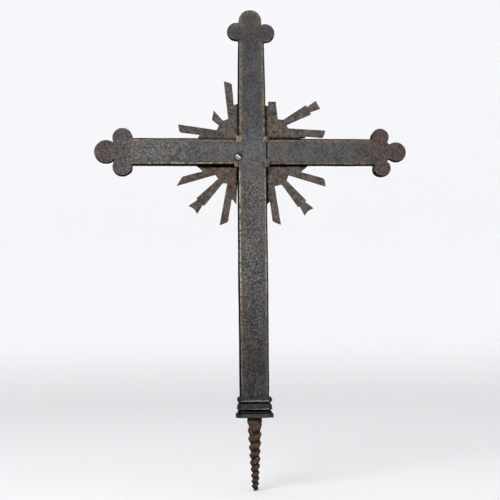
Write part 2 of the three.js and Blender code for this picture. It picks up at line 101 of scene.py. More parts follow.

# Bright chips on the upright's right arris, and rings of painted shadow round the corner lumps and the screw
# head
ARRIS_CHIPS = [(19.5 * MM, 182 * MM), (20 * MM, 262 * MM), (18 * MM, 318 * MM)]
CHIP_HALF_WIDTH = 1.4 * MM
CHIP_HALF_HEIGHT = 3.2 * MM
SHADOW_RINGS = [
    {"x": -22.3 * MM, "z": 404.3 * MM, "radius": 6.6 * MM, "depth": 0.8},
    {"x": 22.3 * MM, "z": 404.3 * MM, "radius": 6.4 * MM, "depth": 0.5},
    {"x": 22.3 * MM, "z": 363 * MM, "radius": 6.4 * MM, "depth": 0.5},
    {"x": -20 * MM, "z": 375 * MM, "radius": 5.5 * MM, "depth": 0.9},
]
RING_HALF_WIDTH = 1.3 * MM

# Seams of the crossing: an open one at the right arm, painted dark as shade in its gap, and a fine one that
# the left arm is drawn up to
SEAM = {"x": 21.2 * MM, "half_width": 1.2 * MM, "half_height": 17 * MM}
LEFT_SEAM = {"x": -21.2 * MM, "half_width": 3 * MM, "shift": 0.35 * MM}

# Screw head on the crossing: the lie of its slot, and the painted highlight across it
HEAD_MIDDLE = (-20 * MM, 375 * MM)
SLOT_TURN = math.radians(-38)
SLOT_HIGHLIGHT = {"across": 0.2 * MM, "half_width": 0.85 * MM, "start": -4.6 * MM, "end": 3.6 * MM}

# Plates: how far their inner edges are drawn up to the bars, and the lumps that their tongues become
BAR_MEETING = {"reach": 1.1 * MM, "near": 0.5 * MM, "far": 2.5 * MM}
TONGUE_FRONT = (5.5 * MM, 7.5 * MM)
TONGUE_ROUNDING = 12
TONGUE_WANDER = 1.3 * MM

# Painted shadow on each plate beside the bars: how far it spreads from the upright and the crossbar, and its
# depth
PLATE_SHADOW = {
    "ray_plate_upper_left": {"upright": 1.4 * MM, "crossbar": 1.8 * MM, "depth": 0.75},
    "ray_plate_upper_right": {"upright": 2.0 * MM, "crossbar": 2.9 * MM, "depth": 0.9},
    "ray_plate_lower_left": {"upright": 2.2 * MM, "crossbar": 4.2 * MM, "depth": 1.0},
    "ray_plate_lower_right": {"upright": 2.2 * MM, "crossbar": 3.2 * MM, "depth": 1.0},
}
SHADOW_FADE = 0.8 * MM

# Lines across the collar's front facet, as heights and half widths: bright lines of wear and painted
# highlight, and dark lines of painted shade in the grooves
COLLAR_HALF_FACET = 20 * MM
COLLAR_BRIGHT_LINES = [(23.6 * MM, 0.55 * MM), (12.2 * MM, 0.45 * MM)]
COLLAR_DARK_LINES = [(20.7 * MM, 1.0 * MM), (9.9 * MM, 1.5 * MM), (6.5 * MM, 0.6 * MM)]

# Foot screw: radii of its root and crest at the collar and at the tip, and the rust that swells it
THREAD_ROOT = (7.6 * MM, 1.6 * MM)
THREAD_CREST = (10 * MM, 4.4 * MM)
SHANK_SWELLING = 0.35 * MM
THREAD_SWELLING = 0.75 * MM

# Room between the screw's tip and the floor
STAGE_GAP = 1 * MM

# Factors that scatter the noise's values
CELL_FACTORS = np.array([374761393, 668265263, 1440662683])
SEED_FACTOR = 974711
SCATTER_FACTOR = 1274126177

# Sockets of the mix node that hold its two colours and its result
FIRST_COLOUR, SECOND_COLOUR, MIXED_COLOUR = 6, 7, 2


def lattice_values(cells, seed):
    """Pseudo-random value from 0 to 1 for each whole-numbered cell of a grid."""
    mixed = cells @ CELL_FACTORS + seed * SEED_FACTOR
    mixed = (mixed ^ (mixed >> 13)) * SCATTER_FACTOR
    mixed = mixed ^ (mixed >> 16)
    return (mixed & 0xFFFF) / 0xFFFF


def smooth_noise(points, size, seed):
    """Soft noise from -1 to 1 with lumps about as large as size."""
    scaled = points / size
    cells = np.floor(scaled).astype(np.int64)
    part = scaled - cells
    weight = part * part * (3 - 2 * part)
    total = np.zeros(len(points))
    for corner in itertools.product((0, 1), repeat=3):
        share = np.prod(np.where(np.array(corner) == 1, weight, 1 - weight), axis=1)
        total += share * lattice_values(cells + np.array(corner), seed)
    return 2 * total - 1


def round_pits(points, spacing, radius, share, seed):
    """Depth from 0 to 1 in round pits scattered at a spacing, in a share of the places for them."""
    scaled = points / spacing
    cells = np.floor(scaled).astype(np.int64)
    depth = np.zeros(len(points))
    for step in itertools.product((-1, 0, 1), repeat=3):
        near = cells + np.array(step)
        present = lattice_values(near, seed) < share
        centre = near + np.column_stack([lattice_values(near, seed + axis) for axis in (1, 2, 3)])
        distance = np.linalg.norm(scaled - centre, axis=1) * spacing
        depth = np.maximum(depth, present * np.clip(1 - distance / radius, 0, 1))
    return depth


def ramp(values, low, high):
    """Soft step from 0 at low to 1 at high."""
    share = np.clip((values - low) / (high - low), 0, 1)
    return share * share * (3 - 2 * share)


def band(values, middle, half_width):
    """1 at the middle of a band, falling to 0 at its two sides."""
    return np.clip(1 - np.abs(values - middle) / half_width, 0, 1)


class Surface:
    """The vertices, normals and edges of a piece's mesh, and the masks that its finish reads."""

    def __init__(self, piece):
        self.mesh = piece.data
        count = len(self.mesh.vertices)
        self.points = np.empty(count * 3)
        self.mesh.vertices.foreach_get("co", self.points)
        self.points = self.points.reshape(-1, 3)
        self.edges = np.empty(len(self.mesh.edges) * 2, np.int64)
        self.mesh.edges.foreach_get("vertices", self.edges)
        self.edges = self.edges.reshape(-1, 2)
        self.normals = self.read_normals()

    def read_normals(self):
        normals = np.empty(len(self.mesh.vertices) * 3)
        self.mesh.vertex_normals.foreach_get("vector", normals)
        return normals.reshape(-1, 3)

    def write_points(self):
        self.mesh.vertices.foreach_set("co", self.points.ravel())
        self.mesh.update()
        self.normals = self.read_normals()

    def neighbour_mean(self, values):
        """Mean of each vertex's neighbours."""
        first, second = self.edges.T
        count = len(values)
        degree = np.bincount(first, minlength=count) + np.bincount(second, minlength=count)
        columns = []
        for column in values.T:
            total = np.bincount(first, column[second], count) + np.bincount(second, column[first], count)
            columns.append(total / np.maximum(degree, 1))
        return np.column_stack(columns)

    def blurred(self, values, rounds):
        """A copy of values, each spread over its neighbours."""
        columns = values.reshape(len(values), -1)
        for _ in range(rounds):
            columns = (columns + self.neighbour_mean(columns)) / 2
        return columns.reshape(values.shape)

    def soften(self, rounds):
        self.points = self.blurred(self.points, rounds)
        self.write_points()

    def raise_by(self, heights):
        self.points = self.points + self.normals * heights[:, None]
        self.write_points()

    def facing_front(self, rounds):
        """How far each vertex faces the front, from -1 to 1, over an area that grows with the rounds."""
        return -self.blurred(self.normals, rounds)[:, 1]

    def convexity(self, rounds):
        """How far each vertex stands out from the surface blurred around it, in metres."""
        return np.sum((self.points - self.blurred(self.points, rounds)) * self.normals, axis=1)

    def store(self, name, values):
        attribute = self.mesh.attributes.new(name, "FLOAT", "POINT")
        attribute.data.foreach_set("value", np.clip(values, 0, 1).astype(np.float32))

    def store_hollows(self, depth, rounds):
        """Mask of the hollows, darkened for the grime they keep and as painted shade."""
        self.store("hollow", -self.convexity(rounds) / depth)


def even_copy(node):
    """A new piece with a node's shape as an even mesh, fine enough to carry relief."""
    piece = bpy.data.objects.new(f"{node}_worn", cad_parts[node].data.copy())
    bpy.context.scene.collection.objects.link(piece)
    shell = bmesh.new()
    shell.from_mesh(piece.data)
    bmesh.ops.remove_doubles(shell, verts=shell.verts, dist=WELD_DISTANCE)
    shell.to_mesh(piece.data)
    shell.free()
    remesh = piece.modifiers.new("even_mesh", "REMESH")
    remesh.mode = "VOXEL"
    remesh.voxel_size = MESH_STEP[node]
    settled = piece.evaluated_get(bpy.context.evaluated_depsgraph_get())
    mesh = bpy.data.meshes.new_from_object(settled)
    piece.modifiers.clear()
    piece.data = mesh
    mesh.materials.clear()
    mesh.shade_smooth()
    return piece


def place_piece(piece, node, material):
    piece.data.materials.append(material)
    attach(piece, "root")
    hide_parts(node)


def face_lines(points):
    """1 along the fine lines in the front faces."""
    mask = np.zeros(len(points))
    for line in FACE_LINES:
        along = ramp(points[:, 0], line["left"], line["left"] + LINE_FADE)
        along *= 1 - ramp(points[:, 0], line["right"] - LINE_FADE, line["right"])
        mask = np.maximum(mask, along * band(points[:, 2], line["z"], line["half_width"]))
    return mask * (points[:, 1] < 0)


def shadow_rings(points):
    """Painted shadow in rings on the front faces, round what stands on them."""
    mask = np.zeros(len(points))
    for ring in SHADOW_RINGS:
        distance = np.hypot(points[:, 0] - ring["x"], points[:, 2] - ring["z"])
        mask = np.maximum(mask, ring["depth"] * band(distance, ring["radius"], RING_HALF_WIDTH))
    return mask * (points[:, 1] < 0)


def open_seam(points):
    """Painted shade: 1 along the gap between the upright's right side and the right arm."""
    mask = band(points[:, 0], SEAM["x"], SEAM["half_width"])
    mask *= np.abs(points[:, 2] - CROSSING_Z) < SEAM["half_height"]
    return np.minimum(2 * mask, 1) * (points[:, 1] < 0)


def arris_chips(points):
    """1 on the bright chips of the upright's right arris."""
    mask = np.zeros(len(points))
    for x, z in ARRIS_CHIPS:
        across = (points[:, 0] - x) / CHIP_HALF_WIDTH
        along = (points[:, 2] - z) / CHIP_HALF_HEIGHT
        mask = np.maximum(mask, 1 - ramp(np.hypot(across, along), 0.4, 1))
    return mask * (points[:, 1] < 0)


def rusty_lobe(points):
    """1 round the rim of the head's top lobe."""
    distance = np.hypot(points[:, 0] - TOP_LOBE["x"], points[:, 2] - TOP_LOBE["z"])
    rim = ramp(distance, TOP_LOBE["inner"], TOP_LOBE["outer"])
    return rim * ramp(points[:, 2], TOP_LOBE["bottom"], TOP_LOBE["bottom"] + 6 * MM)


def pitting(points):
    """How pitted the bars are: most on the lower upright, less on the left arm, little elsewhere."""
    lower_upright = 1 - ramp(points[:, 2], 325 * MM, 360 * MM)
    left_arm = ramp(-points[:, 0], 30 * MM, 130 * MM) * (1 - 0.5 * ramp(-points[:, 0], 170 * MM, 195 * MM))
    crossbar = 0.3 * (1 - ramp(points[:, 2], 410 * MM, 440 * MM))
    right_end = 0.3 * ramp(points[:, 0], 165 * MM, 185 * MM)
    return np.max([lower_upright, 0.85 * left_arm, crossbar, right_end, np.full(len(points), 0.15)], axis=0)


def browning(points):
    """How brown the bars are: most at the right trefoil and the left trefoil's end."""
    right_end = ramp(points[:, 0], 140 * MM, 178 * MM)
    left_end = 0.9 * ramp(-points[:, 0], 192 * MM, 206 * MM)
    lower_left_lobe = 0.6 * ramp(-points[:, 0], 170 * MM, 180 * MM) * (points[:, 2] < CROSSING_Z)
    upper_left_lobe = 0.55 * ramp(-points[:, 0], 170 * MM, 180 * MM) * (points[:, 2] > CROSSING_Z)
    head = 0.5 * ramp(points[:, 2], 520 * MM, 560 * MM)
    return np.max([right_end, left_end, lower_left_lobe, upper_left_lobe, head], axis=0)


def upright_half_width(heights):
    """Half the upright's width: a parabola through its foot, belly and head."""
    return np.polyval(np.polyfit(UPRIGHT_HEIGHTS, UPRIGHT_HALF_WIDTHS, 2), heights)


def crossbar_half_height(places):
    return np.interp(places, CROSSBAR_ENDS, CROSSBAR_HALF_HEIGHTS)


def upright_edges(points):
    """Looks of the upright's long edges, and where they run clear of the crossing and the head."""
    from_crossing = points[:, 2] - CROSSING_Z
    below = from_crossing < 0
    left = points[:, 0] < 0
    rust = np.where(below, 0.2 + 0.5 * ramp(points[:, 2], 40 * MM, 190 * MM), 0.9)
    fresher = 0.25 + 0.75 * ramp(points[:, 2], 140 * MM, 200 * MM)
    left_wear = np.where(below, fresher, 0.15)
    right_wear = np.where(below, 0.6 * fresher, 0.2)
    distance = upright_half_width(points[:, 2]) - np.abs(points[:, 0])
    head = ramp(points[:, 2], 545 * MM, 552 * MM)
    return {
        "distance": distance,
        "clear": ramp(np.abs(from_crossing), 19 * MM, 23 * MM) * (1 - head),
        "lobes": head * (1 - ramp(distance, -0.5 * MM, 0.5 * MM)),
        "rust": rust,
        "wear": np.where(left, left_wear, right_wear),
        # Painted shade along the outer edges: its depth on each side and its width.
        "painted_shade_and_grime": np.where(left, 1.0, 0.8),
        "shade_width": 1.9 * MM,
        "worn_line": WORN_LINE,
    }


def crossbar_edges(points):
    """Looks of the crossbar's long edges, and where they run clear of the trefoils."""
    above = points[:, 2] > CROSSING_Z
    left = points[:, 0] < 0
    right_rust = 0.5 + 0.4 * ramp(points[:, 0], 60 * MM, 110 * MM)
    left_rust = 0.5 + 0.45 * ramp(-points[:, 0], 110 * MM, 140 * MM)
    lower_rust = 0.4 + 0.5 * left * ramp(points[:, 0], -80 * MM, -55 * MM)
    distance = crossbar_half_height(points[:, 0]) - np.abs(points[:, 2] - CROSSING_Z)
    trefoil = ramp(np.abs(points[:, 0]), 170 * MM, 178 * MM)
    past_end = ramp(np.abs(points[:, 0]), 196 * MM, 200 * MM)
    beyond_bar = np.maximum(1 - ramp(distance, -0.5 * MM, 0.5 * MM), past_end)
    return {
        "distance": distance,
        "clear": 1 - trefoil,
        "lobes": trefoil * beyond_bar,
        "rust": np.where(above, np.where(left, left_rust, right_rust), lower_rust),
        "wear": np.where(above, 0.2, np.where(left, 1.1, 0.4)),
        # Painted shade along the outer edges: its depth above and below, and its width.
        "painted_shade_and_grime": np.where(above, 0.85, np.where(left, 0.95, 0.0)),
        "shade_width": np.where(above, 2.3 * MM, 0.8 * MM),
        "worn_line": np.where(above, WORN_LINE, np.where(left, 1.7 * MM, 0.8 * MM)),
    }


def bar_relief(points, arris, pitted, seed):
    """Height of a forged bar's relief: swelling faces, hammer marks, pits, nicked arrises and fine lines."""
    relief = 0.22 * MM * smooth_noise(points, 48 * MM, seed + 20)
    relief += 0.16 * MM * smooth_noise(points, 13 * MM, seed + 30)
    relief += 0.12 * MM * pitted * smooth_noise(points, 4 * MM, seed + 40)
    relief -= 0.45 * MM * pitted * round_pits(points, 4 * MM, 1.8 * MM, 0.4, seed + 10)
    relief -= 0.8 * MM * arris * round_pits(points, 11 * MM, 3.2 * MM, 0.4, seed)
    relief -= 0.25 * MM * face_lines(points)
    return relief + 0.15 * MM


def store_edges(surface, edges, front, patches):
    """Masks of the rusty chamfers, the stained faces beside them, the worn lines with a painted highlight on
    the lobes' lower rims, and the painted shade on the outer edges and the lobes' sides.
    """
    clear = edges["clear"] * ramp(front, 0.2, 0.5)
    distance = edges["distance"]
    ragged = distance + 0.8 * MM * patches
    chamfer = 1 - ramp(ragged, CHAMFER_WIDTH - 1.2 * MM, CHAMFER_WIDTH + 1.2 * MM)
    lobe_rust = 0.8 * rusty_lobe(surface.points) * ramp(front, 0.5, 0.9)
    surface.store("chamfer", np.maximum(clear * chamfer * edges["rust"], lobe_rust))
    surface.store("stain", clear * (1 - ramp(ragged, CHAMFER_WIDTH / 2, STAIN_WIDTH)) * edges["rust"])
    wide_front = surface.facing_front(6)
    down = ramp(-surface.blurred(surface.normals, 6)[:, 2], 0.02, 0.25)
    lobe_rim = ramp(wide_front, 0.75, 0.85) * (1 - ramp(wide_front, 0.93, 0.99)) * edges["lobes"]
    # Painted highlight on the lobes' lower rims.
    painted_highlight_rim = 0.6 * lobe_rim * down
    # Painted shade on the lobes' sides.
    painted_shade_rim = 0.55 * (1 - ramp(np.abs(wide_front), 0.6, 0.8)) * (1 - down) * edges["lobes"]
    wavering = distance + 0.5 * MM * smooth_noise(surface.points, 7 * MM, WAVER_SEED)
    worn = clear * band(wavering, edges["worn_line"], WORN_HALF_WIDTH) * edges["wear"]
    surface.store("rim", np.max([1.5 * worn, painted_highlight_rim, arris_chips(surface.points)], axis=0))
    # Painted shade along the outer edges.
    outer = 1 - ramp(distance - edges["shade_width"], -0.4 * MM, 0.4 * MM)
    return np.maximum(clear * outer * edges["painted_shade_and_grime"], painted_shade_rim)


def make_bar(node, tones_and_light, along, edge_looks):
    """A forged bar with its relief, and masks for its rust, wear and fine dark lines, its painted light and
    its painted shade.
    """
    seed = SEEDS[node]
    piece = even_copy(node)
    surface = Surface(piece)
    surface.soften(1)
    points = surface.points.copy()
    edges = edge_looks(points)
    front = surface.facing_front(2)
    # Painted shade on the undersides, under the lobes and on the sides.
    under = ramp(-surface.blurred(surface.normals, 2)[:, 2], 0.65, 0.85)
    under_lobes = ramp(-surface.blurred(surface.normals, 4)[:, 2], 0.16, 0.36) * edges["lobes"]
    side = 1 - ramp(np.abs(front), 0.3, 0.55)
    arris = np.clip(surface.convexity(4) / (0.35 * MM), 0, 1)
    pitted = pitting(points)
    patches = smooth_noise(points, 22 * MM, seed + 50) + 0.6 * smooth_noise(points, 8 * MM, seed + 60)
    outer_shade = store_edges(surface, edges, front, patches)
    surface.raise_by(bar_relief(points, arris, pitted, seed))
    # Painted light and the iron's own colour, read along the bar.
    places, levels = zip(*tones_and_light)
    surface.store("tone_and_light", np.interp(points[:, along], places, levels) / 2)
    surface.store("pitted", pitted)
    surface.store("brown", browning(points) + 0.15 * patches)
    # Painted shade on the sides, undersides and outer edges, painted shadow rings and the open seam's painted
    # shade, with the fine face lines.
    marks = [0.45 * face_lines(points), shadow_rings(points), open_seam(points)]
    painted_shade_and_grime = [0.85 * side, under, under_lobes, outer_shade, *marks]
    surface.store("painted_shade_and_grime", np.max(painted_shade_and_grime, axis=0))
    surface.store_hollows(0.4 * MM, 4)
    return piece


def close_left_seam(piece):
    """Draws the left arm's end up to the upright, so its seam is finer than the right one."""
    surface = Surface(piece)
    near = band(surface.points[:, 0], LEFT_SEAM["x"], LEFT_SEAM["half_width"])
    surface.points[:, 0] += LEFT_SEAM["shift"] * near * (surface.points[:, 1] < 0)
    surface.write_points()


def bar_distances(points):
    """Distances of a plate's points from the upright's side and from the crossbar's edge."""
    from_upright = np.abs(points[:, 0]) - upright_half_width(points[:, 2])
    from_crossbar = np.abs(points[:, 2] - CROSSING_Z) - crossbar_half_height(points[:, 0])
    return from_upright, from_crossbar


def meet_bars(surface):
    """Draws a plate's inner edges up to the bars, which its solid clears by a hair."""
    reach, near, far = (BAR_MEETING[name] for name in ("reach", "near", "far"))
    from_upright, from_crossbar = bar_distances(surface.points)
    inward = -np.sign(surface.points - np.array([0, 0, CROSSING_Z]))
    surface.points[:, 0] += inward[:, 0] * reach * (1 - ramp(from_upright, near, far))
    surface.points[:, 2] += inward[:, 2] * reach * (1 - ramp(from_crossbar, near, far))
    surface.write_points()


def shape_plate(surface, tongue, seed):
    """Draws a plate up to the bars, with a lump for its tongue, a slight warp and a pitted skin."""
    points = surface.points.copy()
    flat = points * np.array([1, 0, 1])
    meet_bars(surface)
    rounded = surface.blurred(surface.points, TONGUE_ROUNDING)
    surface.points += tongue[:, None] * (rounded - surface.points)
    surface.points[:, 0] += TONGUE_WANDER * tongue * smooth_noise(flat, 8 * MM, seed + 70)
    surface.points[:, 2] += TONGUE_WANDER * tongue * smooth_noise(flat, 8 * MM, seed + 80)
    surface.points[:, 1] += 0.5 * MM * smooth_noise(flat, 40 * MM, seed) * (1 - tongue)
    relief = 0.12 * MM * smooth_noise(points, 9 * MM, seed + 10)
    relief += 0.1 * MM * smooth_noise(points, 3 * MM, seed + 20)
    relief -= 0.15 * MM * round_pits(points, 5 * MM, 2 * MM, 0.35, seed + 30)
    relief += tongue * 0.6 * MM * smooth_noise(points, 6 * MM, seed + 40)
    relief += tongue * 0.5 * MM * smooth_noise(points, 3 * MM, seed + 50)
    surface.raise_by(relief)


def shadow_beside_bars(from_upright, from_crossbar, spread):
    """Painted shadow on a plate where it meets the bars."""
    beside_upright = 1 - ramp(from_upright - spread["upright"], -SHADOW_FADE, SHADOW_FADE)
    beside_crossbar = 1 - ramp(from_crossbar - spread["crossbar"], -SHADOW_FADE, SHADOW_FADE)
    return spread["depth"] * np.maximum(beside_upright, beside_crossbar)


def make_plate(node, seed):
    """A hand-cut sheet with a lumpy tongue, and masks for its painted shade and shadow, rust, wear and grime.
    """
    piece = even_copy(node)
    surface = Surface(piece)
    surface.soften(1)
    points = surface.points.copy()
    # Painted shade on the plate's sides.
    side = 1 - ramp(np.abs(surface.facing_front(2)), 0.3, 0.6)
    tongue = ramp(-points[:, 1], *TONGUE_FRONT)
    shape_plate(surface, tongue, seed)
    from_upright, from_crossbar = bar_distances(points)
    from_corner = np.hypot(from_upright, from_crossbar)
    ragged = 0.8 * MM * smooth_noise(points, 3.5 * MM, seed + 60)
    spread = PLATE_SHADOW[node]
    # Painted shadow beside the bars.
    beside_bars = shadow_beside_bars(from_upright + ragged, from_crossbar + ragged, spread) * (1 - tongue)
    near_corner = 1 - ramp(from_corner, 8 * MM, 45 * MM)
    lumpy = 0.8 * (1 - ramp(from_corner + 2 * ragged, 4 * MM, 9 * MM))
    surface.store("tongue", np.maximum(tongue, lumpy))
    surface.store("painted_shade_and_grime", np.maximum(beside_bars, 0.75 * side * (1 - tongue)))
    surface.store("root", near_corner * (1 - beside_bars))
    surface.store("edge", surface.convexity(4) / (0.25 * MM))
    surface.store_hollows(0.25 * MM, 4)
    return piece


def make_collar(seed):
    """The moulded collar: filed and worn, with bright rims of wear and painted highlight, and ragged dark
    grooves of painted shade across its front.
    """
    piece = even_copy("base_collar")
    surface = Surface(piece)
    surface.soften(2)
    points = surface.points.copy()
    front = ramp(surface.facing_front(3), 0.3, 0.7)
    ragged = 0.5 * MM * smooth_noise(points, 3 * MM, seed + 20)
    heights = points[:, 2] + ragged
    dark = np.max([band(heights, z, half) for z, half in COLLAR_DARK_LINES], axis=0)
    bright = np.max([band(heights, z, half) for z, half in COLLAR_BRIGHT_LINES], axis=0)
    facet = 1 - ramp(np.abs(points[:, 0]), COLLAR_HALF_FACET - 0.8 * MM, COLLAR_HALF_FACET + 0.8 * MM)
    relief = 0.15 * MM * smooth_noise(points, 10 * MM, seed)
    relief += 0.12 * MM * smooth_noise(points, 3 * MM, seed + 10)
    relief -= 0.5 * MM * dark
    surface.raise_by(relief - 0.15 * MM)
    wear = 0.65 + 0.35 * points[:, 0] / COLLAR_HALF_FACET + 0.6 * smooth_noise(points, 6 * MM, seed + 30)
    # Painted highlight and wear on the rims; painted shade in the grooves.
    surface.store("bright", np.minimum(2 * bright, 1) * facet * front * wear)
    surface.store("dark", np.minimum(2 * dark, 1))
    surface.store("flange", 1 - ramp(points[:, 2], 6.5 * MM, 8 * MM))
    surface.store("return", (1 - facet) * np.where(points[:, 0] < 0, 0.9, 0.6))
    surface.store_hollows(0.3 * MM, 6)
    return piece


def make_screw(seed):
    """The foot screw: a rusted thread under a rough shank."""
    piece = even_copy("foot_screw")
    surface = Surface(piece)
    surface.soften(2)
    points = surface.points.copy()
    shank = ramp(points[:, 2], -18 * MM, -9 * MM)
    relief = 0.25 * MM * smooth_noise(points, 6 * MM, seed)
    relief += 0.25 * MM * smooth_noise(points, 2.2 * MM, seed + 10)
    relief += shank * 0.6 * MM * smooth_noise(points, 4 * MM, seed + 20)
    relief -= 0.4 * MM * round_pits(points, 5 * MM, 2 * MM, 0.4, seed + 30)
    surface.raise_by(relief + np.interp(shank, (0, 1), (THREAD_SWELLING, SHANK_SWELLING)))
    radius = np.hypot(points[:, 0], points[:, 1])
    share = np.clip(points[:, 2] / SCREW_TIP_Z, 0, 1)
    root = np.interp(share, (0, 1), THREAD_ROOT)
    crest = np.interp(share, (0, 1), THREAD_CREST)
    surface.store("crest", ramp(radius, root, crest))
    # Painted shadow just under the collar.
    surface.store("shank", ramp(points[:, 2], -7 * MM, -1 * MM))
    surface.store("orange", band(points[:, 2], -34 * MM, 16 * MM))
    surface.store_hollows(0.3 * MM, 6)
    return piece


def make_screw_head(seed):
    """The slotted head on the crossing's corner, with a painted highlight along its slot and painted shade
    above it and round its rim.
    """
    piece = even_copy("corner_screw")
    surface = Surface(piece)
    surface.soften(2)
    surface.raise_by(0.06 * MM * smooth_noise(surface.points, 2 * MM, seed))
    x, z = (surface.points[:, axis] - middle for axis, middle in zip((0, 2), HEAD_MIDDLE))
    along = x * math.cos(SLOT_TURN) + z * math.sin(SLOT_TURN)
    across = z * math.cos(SLOT_TURN) - x * math.sin(SLOT_TURN)
    ends = ramp(along, SLOT_HIGHLIGHT["start"], SLOT_HIGHLIGHT["start"] + 1 * MM)
    ends *= 1 - ramp(along, SLOT_HIGHLIGHT["end"] - 1 * MM, SLOT_HIGHLIGHT["end"])
    # Painted highlight along the slot.
    cut = np.minimum(2 * band(across, SLOT_HIGHLIGHT["across"], SLOT_HIGHLIGHT["half_width"]), 1) * ends
    rim = ramp(np.hypot(x, z), 4.2 * MM, 5.2 * MM)
    surface.store("cut", cut)
    # Painted shade above the slot and round the rim.
    surface.store("shade", np.maximum(ramp(across, 0.5 * MM, 1.1 * MM), rim))
    surface.store_hollows(0.1 * MM, 5)
    return piece


def linear(*levels):
    """Shader colour from red, green and blue levels of 0 to 255."""
    shares = [level / 255 for level in levels]
    return [s / 12.92 if s <= 0.04045 else ((s + 0.055) / 1.055) ** 2.4 for s in shares] + [1]


class Finish:
    """Builds one material's nodes, on the object's own coordinates."""

    def __init__(self, name):
        self.material = bpy.data.materials.new(name)
        self.material.use_nodes = True
        self.tree = self.material.node_tree
        self.shader = self.tree.nodes["Principled BSDF"]
        self.place = self.tree.nodes.new("ShaderNodeTexCoord").outputs["Object"]

    def connect(self, socket, value):
        """Puts a value on a socket, or links another node's output to it."""
        if isinstance(value, bpy.types.NodeSocket):
            self.tree.links.new(value, socket)
        else:
            socket.default_value = value

    def height(self):
        """Height of each point above the object's origin, in metres."""
        node = self.tree.nodes.new("ShaderNodeSeparateXYZ")
        self.connect(node.inputs["Vector"], self.place)
        return node.outputs["Z"]

    def attribute(self, name):
        node = self.tree.nodes.new("ShaderNodeAttribute")
        node.attribute_name = name
        return node.outputs["Fac"]

    def noise(self, size, detail=3, roughness=0.6):
        """Noise from 0 to 1 with lumps of a size in metres."""
        node = self.tree.nodes.new("ShaderNodeTexNoise")
        self.connect(node.inputs["Vector"], self.place)
        node.inputs["Scale"].default_value = 1 / size
        node.inputs["Detail"].default_value = detail
        node.inputs["Roughness"].default_value = roughness
        return node.outputs["Fac"]

    def specks(self, size):
        """Distance from the nearest of many scattered points, in lengths of size."""
        node = self.tree.nodes.new("ShaderNodeTexVoronoi")
        self.connect(node.inputs["Vector"], self.place)
        node.inputs["Scale"].default_value = 1 / size
        return node.outputs["Distance"]

    def between(self, value, low, high, top=1.0):
        """A value's share of the way from low to high, from 0 to top."""
        node = self.tree.nodes.new("ShaderNodeMapRange")
        node.interpolation_type = "SMOOTHSTEP"
        self.connect(node.inputs["Value"], value)
        node.inputs["From Min"].default_value = low
        node.inputs["From Max"].default_value = high
        node.inputs["To Max"].default_value = top
        return node.outputs["Result"]

    def scaled(self, value, low, high):
        """A value of 0 to 1 carried to the range from low to high."""
        node = self.tree.nodes.new("ShaderNodeMapRange")
        self.connect(node.inputs["Value"], value)
        node.inputs["To Min"].default_value = low
        node.inputs["To Max"].default_value = high
        return node.outputs["Result"]

    def math(self, operation, first, second):
        node = self.tree.nodes.new("ShaderNodeMath")
        node.operation = operation
        self.connect(node.inputs[0], first)
        self.connect(node.inputs[1], second)
        return node.outputs["Value"]

    def times(self, *values):
        result = values[0]
        for value in values[1:]:
            result = self.math("MULTIPLY", result, value)
        return result

    def mix(self, share, first, second, blend="MIX"):
        """Mixes two colours by a share."""
        node = self.tree.nodes.new("ShaderNodeMix")
        node.data_type = "RGBA"
        node.blend_type = blend
        self.connect(node.inputs["Factor"], share)
        self.connect(node.inputs[FIRST_COLOUR], first)
        self.connect(node.inputs[SECOND_COLOUR], second)
        return node.outputs[MIXED_COLOUR]

    def bump(self, height, depth, strength):
        """Normal with a fine relief of a depth in metres."""
        node = self.tree.nodes.new("ShaderNodeBump")
        node.inputs["Distance"].default_value = depth
        node.inputs["Strength"].default_value = strength
        self.connect(node.inputs["Height"], height)
        return node.outputs["Normal"]

    def finish(self, colour, roughness, normal, metallic, specular):
        self.connect(self.shader.inputs["Base Color"], colour)
        self.connect(self.shader.inputs["Roughness"], roughness)
        self.connect(self.shader.inputs["Normal"], normal)
        self.connect(self.shader.inputs["Metallic"], metallic)
        self.connect(self.shader.inputs["Specular IOR Level"], specular)
        return self.material


def forged_scale(finish, grain):
    """Mottled and pitted black-grey scale with browned ends."""
    mottle = finish.noise(16 * MM, 5)
    pitted = finish.attribute("pitted")
    colour = finish.mix(finish.between(mottle, 0.38, 0.62), linear(70, 72, 77), linear(88, 86, 83))
    brown = finish.mix(finish.between(mottle, 0.35, 0.65), linear(72, 62, 59), linear(90, 76, 71))
    browned = finish.attribute("brown")
    colour = finish.mix(browned, colour, brown)
    reddish = finish.times(pitted, finish.between(finish.noise(20 * MM, 4), 0.5, 0.64, 0.65))
    colour = finish.mix(reddish, colour, linear(88, 74, 67))
    coarse = finish.scaled(pitted, 0.5, 1.0)
    light = finish.times(coarse, finish.between(grain, 0.53, 0.64, 0.8))
    light_grain = finish.mix(browned, linear(116, 113, 110), linear(106, 91, 85))
    colour = finish.mix(light, colour, light_grain)
    dark = finish.times(coarse, finish.between(grain, 0.47, 0.36, 0.85))
    colour = finish.mix(dark, colour, linear(34, 32, 33))
    pits = finish.times(pitted, finish.between(finish.noise(2.8 * MM, 2, 0.7), 0.46, 0.36, 0.85))
    colour = finish.mix(pits, colour, linear(24, 23, 24))
    ridges = finish.times(pitted, finish.between(finish.noise(2.6 * MM, 2, 0.7), 0.55, 0.65, 0.75))
    colour = finish.mix(ridges, colour, linear(138, 135, 132))
    specks = finish.times(pitted, finish.between(finish.specks(6 * MM), 0.2, 0.1, 0.4))
    colour = finish.mix(specks, colour, linear(150, 146, 142))
    # Brightens and darkens the scale along the bars: partly the iron's own colour, partly painted light.
    tone_and_light = finish.attribute("tone_and_light")
    return finish.mix(1.0, colour, finish.math("ADD", tone_and_light, tone_and_light), "MULTIPLY")


